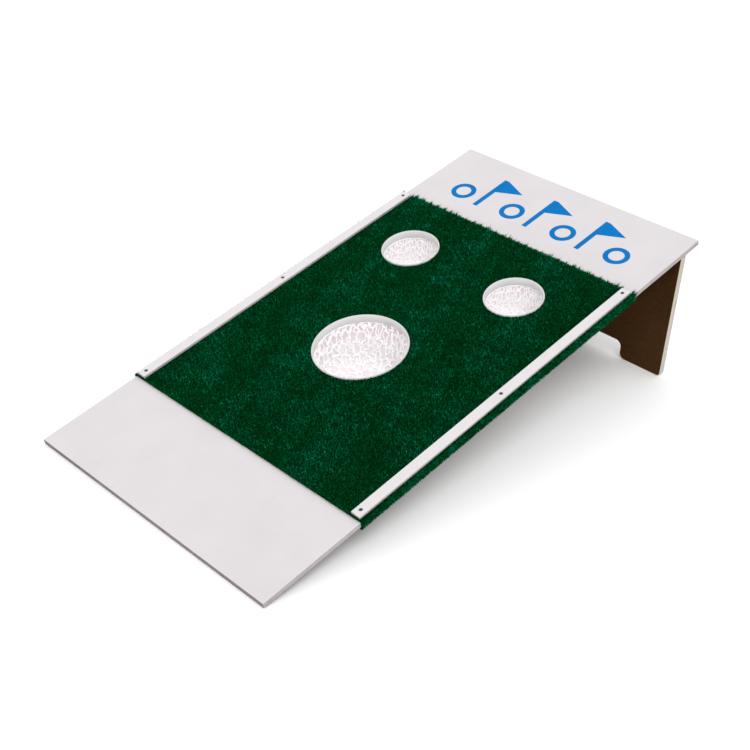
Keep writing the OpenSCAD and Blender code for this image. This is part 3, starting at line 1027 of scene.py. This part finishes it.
class Pile:
    """The turf's blades. Each is a bent, pointed strip that stands on the backing."""

    def __init__(self):
        self.rng = np.random.default_rng(PILE_SEED)
        s, y = sown(self.rng)
        x, z, nx, nz = WRAP.at(s)
        keep = room_for_pile(x, y, z, nz)
        self.s, self.y, self.x, z, nx, self.nz = (a[keep] for a in (s, y, x, z, nx, nz))
        self.count = len(self.s)
        self.on_side = np.abs(self.x) > WRAP.half - 2 * MM
        flat = np.zeros(self.count)
        self.foot = np.stack([self.x, self.y, z], axis=1)
        self.normal = np.stack([nx, flat, self.nz], axis=1)
        self.across = np.stack([-self.nz, flat, nx], axis=1)
        self.ahead = np.array([0.0, 1.0, 0.0])
        self.patch = patches(self.s, self.y, self.rng, *PATCHES)
        self.tall = self.heights()
        self.lean = self.leans()
        self.points = self.strips()
        self.colour = self.colours()

    def heights(self):
        """How tall the blades are. They taper off at a side's near end, and tufts of them stand out
        at the far end."""
        spread = self.rng.uniform(*BLADE_TALL, self.count) * (1 + 0.07 * self.patch)
        tall = (WRAP.pile_top - BACKING_T) * spread
        taper = np.clip(NEAR_PILE + (self.y - WRAP.start) / NEAR_TAPER, 0, 1)
        tall = np.where(self.on_side, tall * SIDE_PILE * taper, tall)
        tuft = patches(self.s, 0 * self.s, self.rng, *TUFTS)
        ragged = (WRAP.end - self.y < 3 * MM) & (tuft > 0) & (self.x > -WRAP.half) & (self.nz > -0.1)
        growth = (1 + TUFT_GROWTH * np.clip(tuft, 0, 0.45)) * self.rng.uniform(0.8, 1.2, self.count)
        tall = np.where(ragged, tall * growth, tall)
        return np.where(self.nz < -0.1, tall * UNDER_PILE, tall)

    def leans(self):
        """How far the blades lean: out where the turf ends, and away from holes and battens."""
        sideways = self.rng.normal(0, LEAN, self.count) * np.where(self.on_side, 0.5, 1.0)
        forward = self.rng.normal(0.05, LEAN, self.count)
        far_end = np.clip(1 - (WRAP.end - self.y) / END_LEAN, 0, 1)
        forward += 1.1 * far_end * self.rng.uniform(0.2, 1.3, self.count)
        near_end = np.clip(1 - (self.y - WRAP.start) / END_LEAN, 0, 1)
        forward -= 0.8 * near_end * self.rng.uniform(0.1, 0.9, self.count)
        lean = self.across * sideways[:, None] + self.ahead * forward[:, None]
        on_top = self.nz > 0.5
        for hole in HOLES.values():
            way = (self.foot - hole.middle) * np.array([1, 1, 0])
            away = np.linalg.norm(way, axis=1)
            way /= away[:, None]
            near = on_top & (np.abs(self.x) < WRAP.half) & (away < hole.radius + self.tall * 1.3)
            inward = np.minimum((lean * way).sum(1), 0)
            lean = np.where(near[:, None], lean - way * (inward * 0.9)[:, None], lean)
        for low, high in BATTEN_BOXES:
            beside = on_top & (self.y > low[1] - 2 * MM) & (self.y < high[1] + 2 * MM)
            for edge, sign in ((low[0], -1), (high[0], 1)):
                clear = (self.x - edge) * sign
                near = beside & (clear > 0) & (clear < 4 * MM)
                lean[:, 0] = np.where(near, sign * np.abs(lean[:, 0]), lean[:, 0])
        return lean

    def strips(self):
        """Five corners to a blade: two at its foot, two at its bend and one at its tip."""
        turn = self.rng.uniform(0, math.pi, self.count)[:, None]
        width = self.rng.uniform(*BLADE_W, self.count)[:, None]
        half = (self.across * np.cos(turn) + self.ahead * np.sin(turn)) * width / 2
        tall = self.tall[:, None]
        bend = self.foot + (self.normal + self.lean * 0.35) * tall * 0.55
        tip = self.foot + (self.normal * 0.96 + self.lean) * tall
        corners = [self.foot - half, self.foot + half, bend + half * 0.8, bend - half * 0.8, tip]
        points = np.stack(corners, axis=1)
        return placed(points.reshape(-1, 3), DECK).reshape(points.shape)

    def colours(self):
        """Each blade's place in PILE_COLOURS, which is darker underneath and along the near end, as painted
        shade.
        """
        steps = np.cumsum([share for _, share in PILE_COLOURS])
        shaded = 0.35 * (self.nz < -0.2) + 0.4 * (self.y < WRAP.start + 2.2 * MM)
        rank = np.clip(self.rng.random(self.count) + 0.37 * self.patch - shaded, 0, 0.9999)
        return np.minimum(np.searchsorted(steps / steps[-1], rank), len(PILE_COLOURS) - 1)


def turf_pile(backing):
    """The blades, in pieces along the deck. The cloth that they stand on, backing, is not used."""
    pile = Pile()
    cuts = np.linspace(WRAP.start, WRAP.end, PILE_PIECES + 1)
    piece = np.searchsorted(cuts[1:-1], pile.y, side="right")
    for i in range(PILE_PIECES):
        blade_piece(f"turf_pile_{i + 1}", pile.points[piece == i], pile.colour[piece == i])


def blade_piece(name, blades, colour):
    """One mesh of blades: a four-cornered foot and a three-cornered tip for each."""
    corners = np.arange(len(blades))[:, None] * 5 + np.array([0, 1, 2, 3, 3, 2, 4])
    mesh = quick_mesh(name, blades, corners, sizes=np.tile([4, 3], len(blades)))
    mesh.polygons.foreach_set("material_index", np.repeat(colour, 2).astype(np.int32))
    return finish_object(mesh, PILE, "deck")


# -------- hardware


def dress_hardware():
    """The CAD nodes that keep their own shape get a finish: the last one whose ending they have."""
    looks = dict(screws=ZINC, leaf=ZINC, pin=ZINC, staples=ZINC, batten_screws=SCREW, graphic=BLUE)
    for name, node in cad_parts.items():
        for ending, look in looks.items():
            if name.endswith(ending):
                node.data.materials.clear()
                node.data.materials.append(look)


# -------- stage


def stage():
    """A pale floor, just below the board."""
    mesh = bpy.data.meshes.new("floor")
    size = 14.0
    corners = [(-size, -size, 0), (size, -size, 0), (size, size, 0), (-size, size, 0)]
    mesh.from_pydata(corners, [], [(0, 1, 2, 3)])
    floor = bpy.data.objects.new("floor", mesh)
    bpy.context.scene.collection.objects.link(floor)
    mesh.materials.append(Look("floor", (0.94, 0.94, 0.94), 0.9, specular=0.05).material)
    floor.location.z = -0.4 * MM


def lights():
    """White all round, and one very soft light from above, on the camera's side."""
    world = bpy.data.worlds.new("studio")
    world.use_nodes = True
    sky = world.node_tree.nodes["Background"]
    sky.inputs["Color"].default_value = (1, 1, 1, 1)
    sky.inputs["Strength"].default_value = SKY
    bpy.context.scene.world = world
    data = bpy.data.lights.new("overhead", "SUN")
    data.angle = math.radians(35)
    data.energy = OVERHEAD
    light = bpy.data.objects.new("overhead", data)
    light.rotation_euler = Vector(OVERHEAD_FROM).to_track_quat("Z", "Y").to_euler()
    bpy.context.scene.collection.objects.link(light)


def camera():
    """Looks from the near right, rolled a little."""
    data = bpy.data.cameras.new("camera")
    data.lens = LENS
    data.sensor_width = 36
    eye = bpy.data.objects.new("camera", data)
    bpy.context.scene.collection.objects.link(eye)
    azimuth, elevation, roll = (math.radians(a) for a in (LOOK_AZIMUTH, LOOK_ELEVATION, LOOK_ROLL))
    forward = Vector((
        -math.sin(azimuth) * math.cos(elevation),
        math.cos(azimuth) * math.cos(elevation),
        -math.sin(elevation),
    ))
    level = forward.cross(Vector((0, 0, 1))).normalized()
    down = forward.cross(level)
    right = level * math.cos(roll) + down * math.sin(roll)
    up = right.cross(forward)
    target = (CAD_LOW + CAD_HIGH) / 2 + LOOK_AT
    turn = Matrix((right, up, -forward)).transposed().to_4x4()
    eye.matrix_world = Matrix.Translation(target - forward * LOOK_DISTANCE) @ turn
    bpy.context.scene.camera = eye


# -------- everything

camera()
stage()
lights()
bpy.context.scene.view_settings.view_transform = "Standard"
deck_panel()
leg_board()
batten("left")
batten("right")
for opening in HOLES.values():
    hole_ring(opening)
for side, sizes in NETS.items():
    net_bag(HOLES[side], *sizes)
turf_pile(turf_backing())
dress_hardware()
